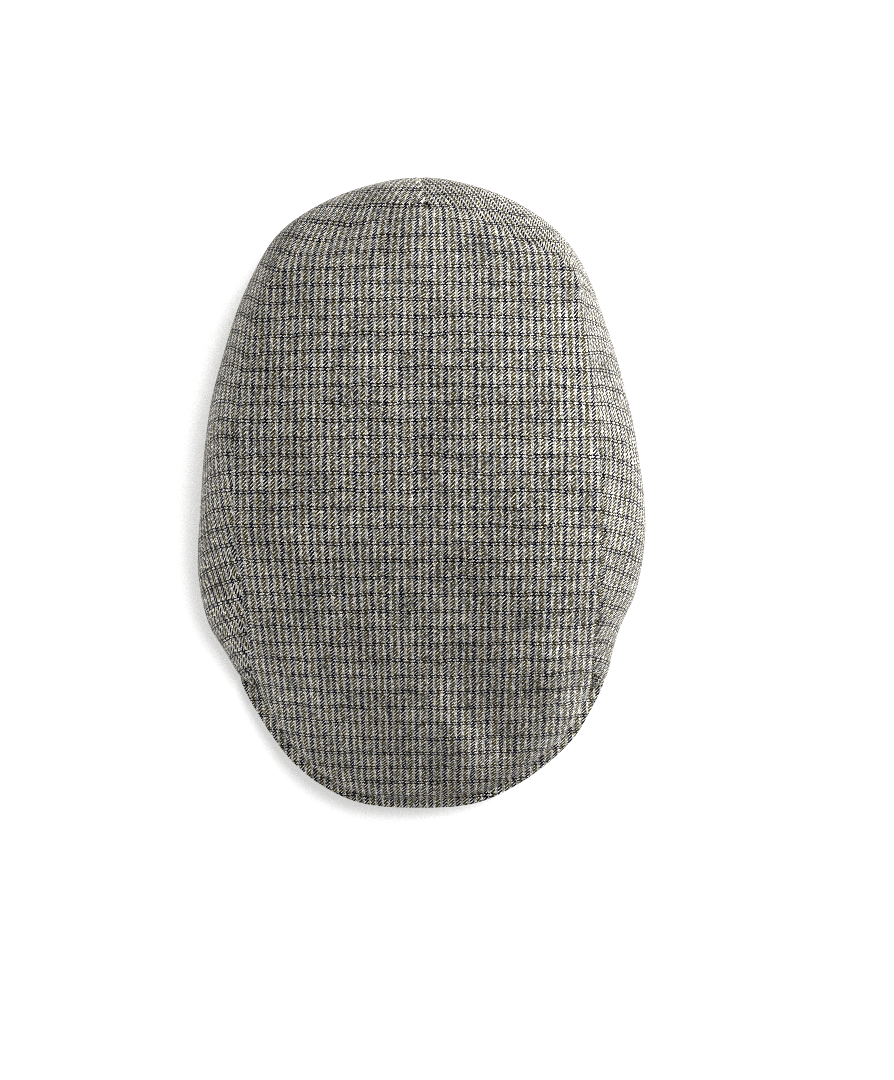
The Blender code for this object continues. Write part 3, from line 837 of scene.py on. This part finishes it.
topPoints = openSeams(topPoints, [
    ((0, slice(None)), (1, slice(None))),
    ((-1, slice(None)), (-2, slice(None))),
    ((slice(1, -1), -1), (slice(1, -1), -2)),
])
# the front edge grows thin as it rolls on to the peak
thinned = panel["thinned"] * topFade ** 3
topPoints = topPoints - topNormals * thinned[..., None]
topPiece = clothPiece("crownTopCloth", topPoints, topNormals, clothPlaces["top"], cap["cloth"] - thinned,
                      panel["edgeRounding"])
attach(topPiece, "root")
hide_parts("crown_top")

sidePieces = {}
sideNames = {
    left: ("sidePanelLeftCloth", "side_panel_left", "left_check_cloth"),
    right: ("sidePanelRightCloth", "side_panel_right", "right_check_cloth"),
}
for side in sides:
    points = openSeams(sidePoints[side], [
        ((slice(None), 0), (slice(None), 1)),
        ((-1, slice(None)), (-2, slice(None))),
    ])
    # the rim keeps to the table, and its wall lies level there
    points[:, -1, 2] = points[:, -1, 2].clip(0)
    walls = sideNormals[side].copy()
    walls[:, -1, 2] = 0.0
    walls[:, -1] = unit(walls[:, -1])
    pieceName, node, slotName = sideNames[side]
    made = clothPiece(pieceName, points, walls, clothPlaces[side], cap["cloth"],
                      panel["edgeRounding"], side == right)
    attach(made, "root")
    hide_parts(node)
    sidePieces[side] = made
print("panels made")


def peakSurface():
    # the peak's middle surface, and how much its upper face swells
    insetRows = []
    for row in range(peak["rows"] + 1):
        halves = []
        for side in sides:
            form = forms[side]
            width = norm(form["inner"] - form["outer"], axis=1)
            line = peakPlace(form, width * row / peak["rows"], 0.0)
            halves.append(line[::-1] if side == left else line[1:])
        insetRows.append(np.vstack(halves))
    points = np.stack(insetRows, axis=1)
    # near the tips it swells to fill the space under the raised edge of the top panel,
    # and over the last two columns it comes down again
    ahead, behind = peak["frontColumns"], peak["rearColumns"]
    share = np.concatenate([np.linspace(0, 1, ahead + 1), np.zeros(behind)])
    rise = cap["tipHeight"] * share ** 3 * ((1 - share) * ahead / 2).clip(0, 1)
    rise = np.concatenate([rise[::-1], rise[1:]])[:, None]
    lip = np.repeat((peak["leftLip"], peak["rightLip"]), (len(share), len(share) - 1))[:, None]
    inset = norm(points - points[:, :1], axis=2)
    return points, rise * ((inset - lip) / peak["swellWidth"] + 1).clip(0, 1) ** 2


peakPoints, peakRise = peakSurface()
peakNormals = gridNormals(peakPoints)
upper = peakPoints + peakNormals * (peak["thickness"] / 2 + peakRise)[..., None]
# its check was cut to match the top panel's
clothPlaces["peak"] = topCloth(upper)
peakPiece = clothPiece("peakCloth", upper, peakNormals, clothPlaces["peak"], peak["thickness"] + peakRise,
                       peak["edgeRounding"])
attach(peakPiece, "root")
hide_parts("peak")
print("peak made")


# cloth material
class nodeMaker:
    # short ways to add and join nodes in one tree
    def __init__(self, tree):
        self.tree = tree

    def add(self, kind, **settings):
        node = self.tree.nodes.new(kind)
        for name, value in settings.items():
            setattr(node, name, value)
        return node

    def plug(self, value, socket):
        if isinstance(value, bpy.types.NodeSocket):
            self.tree.links.new(value, socket)
        else:
            socket.default_value = value

    def math(self, operation, first, second=None, third=None, clamp=False):
        node = self.add("ShaderNodeMath", operation=operation, use_clamp=clamp)
        for value, socket in zip((first, second, third), node.inputs):
            if value is not None:
                self.plug(value, socket)
        return node.outputs[0]

    def choose(self, share, first, second):
        node = self.add("ShaderNodeMix", data_type="FLOAT")
        self.plug(share, node.inputs[0])
        self.plug(first, node.inputs[2])
        self.plug(second, node.inputs[3])
        return node.outputs[0]

    def yarns(self, number, repeat, bars):
        # the colour of each yarn, from the places in a repeat where the colours begin
        count = self.math("FLOORED_MODULO", number, float(repeat))
        place = self.math("DIVIDE", self.math("ADD", count, 0.5), float(repeat))
        ramp = self.add("ShaderNodeValToRGB")
        ramp.color_ramp.interpolation = "CONSTANT"
        while len(ramp.color_ramp.elements) < len(bars):
            ramp.color_ramp.elements.new(0.5)
        for element, (position, key) in zip(ramp.color_ramp.elements, bars):
            element.position = position
            element.color = weave[key]
        self.plug(place, ramp.inputs[0])
        return ramp.outputs["Color"]

    def noise(self, place, scale, detail):
        node = self.add("ShaderNodeTexNoise", noise_dimensions="2D")
        node.inputs["Scale"].default_value = scale
        node.inputs["Detail"].default_value = detail
        self.plug(place, node.inputs["Vector"])
        return node.outputs["Fac"]

    def arch(self, position):
        # round from one side of a yarn to the other
        across = self.math("SUBTRACT", self.math("MULTIPLY", self.math("FRACT", position), 2.0), 1.0)
        return self.math("SUBTRACT", 1.0, self.math("MULTIPLY", across, across))

    def floatRise(self, along):
        # over two yarns of each four
        run = self.math("FLOORED_MODULO", along, 4.0)
        return self.math("MULTIPLY", run, self.math("SUBTRACT", 2.0, run), clamp=True)

    def mix(self, share, first, second, blend="MIX"):
        node = self.add("ShaderNodeMix", data_type="RGBA", blend_type=blend)
        self.plug(share, node.inputs[0])
        self.plug(first, node.inputs[6])
        self.plug(second, node.inputs[7])
        return node.outputs[2]


def buildTwill():
    group = bpy.data.node_groups.new("checkedTwill", "ShaderNodeTree")
    face = group.interface
    face.new_socket(name="Cloth Place", in_out="INPUT", socket_type="NodeSocketVector")
    for name, value in (("Warp Pitch", weave["warpPitch"]), ("Pick Pitch", weave["pickPitch"]),
                        ("Uneven Floats", weave["uneven"])):
        socket = face.new_socket(name=name, in_out="INPUT", socket_type="NodeSocketFloat")
        socket.default_value = value
    face.new_socket(name="Colour", in_out="OUTPUT", socket_type="NodeSocketColor")
    face.new_socket(name="Height", in_out="OUTPUT", socket_type="NodeSocketFloat")
    m = nodeMaker(group)
    entry = m.add("NodeGroupInput")
    leave = m.add("NodeGroupOutput")
    place = entry.outputs["Cloth Place"]
    # yarns wander a little
    split = m.add("ShaderNodeSeparateXYZ")
    m.plug(place, split.inputs[0])
    strayed = []
    for axis, yarn in enumerate(("warp", "pick")):
        wander = m.noise(place, weave[yarn + "WanderScale"], 1.0)
        drift = m.math("MULTIPLY", m.math("SUBTRACT", wander, 0.5), weave[yarn + "Wander"])
        strayed.append(m.math("ADD", split.outputs[axis], drift))
    warpPos = m.math("DIVIDE", strayed[0], entry.outputs["Warp Pitch"])
    pickPos = m.math("DIVIDE", strayed[1], entry.outputs["Pick Pitch"])
    warp = m.math("FLOOR", warpPos)
    pick = m.math("FLOOR", pickPos)
    # two over, two under, one step along at each pick
    step = m.math("FLOORED_MODULO", m.math("SUBTRACT", warp, pick), 4.0)
    warpOver = m.math("LESS_THAN", step, 1.5)
    # yarn colours
    warpColour = m.yarns(warp, weave["repeat"], weave["bars"])
    weftColour = m.yarns(pick, weave["pickRepeat"], weave["lines"])
    colour = m.mix(warpOver, weftColour, warpColour)
    # yarns are round across, and each float rises and falls along its length
    warpAlong = m.math("ADD", m.math("SUBTRACT", pickPos, warp), 1.0)
    pickAlong = m.math("SUBTRACT", m.math("SUBTRACT", warpPos, pick), 2.0)
    warpHeight = m.math("MULTIPLY", m.arch(warpPos), m.floatRise(warpAlong))
    pickHeight = m.math("MULTIPLY", m.arch(pickPos), m.floatRise(pickAlong))
    height = m.choose(warpOver, pickHeight, warpHeight)
    # every float takes the dye a little differently
    warpFloat = m.math("FLOOR", m.math("DIVIDE", warpAlong, 4.0))
    pickFloat = m.math("FLOOR", m.math("DIVIDE", pickAlong, 4.0))
    floatKey = m.add("ShaderNodeCombineXYZ")
    m.plug(m.choose(warpOver, pick, warp), floatKey.inputs[0])
    m.plug(m.choose(warpOver, pickFloat, warpFloat), floatKey.inputs[1])
    m.plug(warpOver, floatKey.inputs[2])
    dye = m.add("ShaderNodeTexWhiteNoise", noise_dimensions="3D")
    m.plug(floatKey.outputs[0], dye.inputs["Vector"])
    cloud = m.math("SUBTRACT", m.noise(place, weave["cloudScale"], 3.0), 0.5)
    chance = m.math("SUBTRACT", dye.outputs["Value"], 0.5)
    uneven = m.math("ADD", chance, m.math("MULTIPLY", cloud, weave["cloudy"]))
    uneven = m.math("MULTIPLY_ADD", uneven, m.math("MULTIPLY", entry.outputs["Uneven Floats"], 2.0), 1.0)
    # the yarns' height also goes into the colour as painted shade, darker between the yarns and at the ends
    # of each float, with the uneven dye on top of it
    paintedShadeAndDye = m.math("MULTIPLY", height, uneven)
    # and some floats are warmer, some cooler
    chances = m.add("ShaderNodeSeparateColor")
    m.plug(dye.outputs["Color"], chances.inputs[0])
    warmth = m.math("MULTIPLY", m.math("SUBTRACT", chances.outputs["Green"], 0.5), weave["warmth"])
    tint = m.add("ShaderNodeCombineXYZ")
    for socket, share in zip(tint.inputs, weave["warmthShares"]):
        m.plug(m.math("MULTIPLY", paintedShadeAndDye, m.math("MULTIPLY_ADD", warmth, share, 1.0)), socket)
    m.plug(m.mix(1.0, colour, tint.outputs[0], blend="MULTIPLY"), leave.inputs["Colour"])
    m.plug(height, leave.inputs["Height"])
    return group


def setSockets(node, values):
    for name, value in values.items():
        node.inputs[name].default_value = value


twill = buildTwill()
clothFinish = {
    "Roughness": 0.9,
    "Specular IOR Level": 0.08,
    "Sheen Weight": 0.24,
    "Sheen Roughness": 0.45,
    "Sheen Tint": (1.0, 0.98, 0.94, 1),
}
yarnRelief = {"Strength": 0.35, "Distance": 0.00018}


def clothMaterial(name):
    material = bpy.data.materials.new(name)
    material.use_nodes = True
    m = nodeMaker(material.node_tree)
    shader = material.node_tree.nodes["Principled BSDF"]
    place = m.add("ShaderNodeUVMap", uv_map="clothPlace")
    cloth = m.add("ShaderNodeGroup", node_tree=twill)
    m.plug(place.outputs[0], cloth.inputs["Cloth Place"])
    m.plug(cloth.outputs["Colour"], shader.inputs["Base Color"])
    bump = m.add("ShaderNodeBump")
    setSockets(bump, yarnRelief)
    m.plug(cloth.outputs["Height"], bump.inputs["Height"])
    m.plug(bump.outputs[0], shader.inputs["Normal"])
    setSockets(shader, clothFinish)
    return material


for piece, slotName in ((topPiece, "topCheckCloth"), (sidePieces[left], "leftCheckCloth"),
                        (sidePieces[right], "rightCheckCloth"), (peakPiece, "peakCheckCloth")):
    piece.data.materials.clear()
    piece.data.materials.append(clothMaterial(slotName))
print("cloth woven")


# table, lights and camera
studio = {
    "floorSize": 8,
    "floor": {
        "Base Color": (0.85, 0.85, 0.85, 1),
        "Roughness": 0.9,
        "Specular IOR Level": 0.0,
        "Emission Color": (1, 1, 1, 1),
        "Emission Strength": 0.115,     # a little glow, so that the table prints white
    },
    "world": 0.385,
    # name, place, target, width, height, power
    "lamps": (
        ("keyRight", (1.00, 0.58, 0.32), (0.0, 0.0, 0.04), 0.7, 0.5, 11.6),
        ("fillLeft", (-1.06, -0.35, 0.36), (0.0, 0.0, 0.04), 0.7, 0.5, 3.4),
        ("above", (0.30, 0.22, 1.40), (0.0, 0.0, 0.0), 0.35, 0.35, 4.2),
    ),
    "cameraPlace": (0.01185, -0.02137, 1.150),
    "lens": 81.94,
    "sensor": 36,
}
clearSelection()
bpy.ops.mesh.primitive_plane_add(size=studio["floorSize"], location=(0, 0, 0))
floor = bpy.context.active_object
floor.name = "floor"
floorMaterial = bpy.data.materials.new("paleTable")
floorMaterial.use_nodes = True
setSockets(floorMaterial.node_tree.nodes["Principled BSDF"], studio["floor"])
floor.data.materials.append(floorMaterial)

world = bpy.data.worlds.new("studioWorld")
world.use_nodes = True
bpy.context.scene.world = world
worldMaker = nodeMaker(world.node_tree)
background = world.node_tree.nodes["Background"]
background.inputs["Color"].default_value = (1, 1, 1, 1)
rayKind = worldMaker.add("ShaderNodeLightPath")
seen = rayKind.outputs["Is Camera Ray"]
brightness = worldMaker.math("MULTIPLY_ADD", seen, 1.0 - studio["world"], studio["world"])
worldMaker.plug(brightness, background.inputs["Strength"])


def softbox(name, place, target, width, height, power):
    clearSelection()
    bpy.ops.object.light_add(type="AREA", location=place)
    lamp = bpy.context.active_object
    lamp.name = name
    lamp.data.shape = "RECTANGLE"
    lamp.data.size = width
    lamp.data.size_y = height
    lamp.data.energy = power
    lamp.rotation_euler = (Vector(target) - Vector(place)).to_track_quat("-Z", "Y").to_euler()


for row in studio["lamps"]:
    softbox(*row)

clearSelection()
bpy.ops.object.camera_add(location=studio["cameraPlace"], rotation=(0, 0, 0))
camera = bpy.context.active_object
camera.name = "camera"
camera.data.lens = studio["lens"]
camera.data.sensor_width = studio["sensor"]
bpy.context.scene.camera = camera
bpy.context.scene.view_settings.view_transform = "Standard"
bpy.context.scene.view_settings.look = "Very High Contrast"     # the photograph is crisp and contrasty
bpy.context.scene.cycles.use_denoising = False      # it would smear the yarns
bpy.context.scene.cycles.filter_width = 1.0         # a yarn is about one pixel wide
print("studio set")
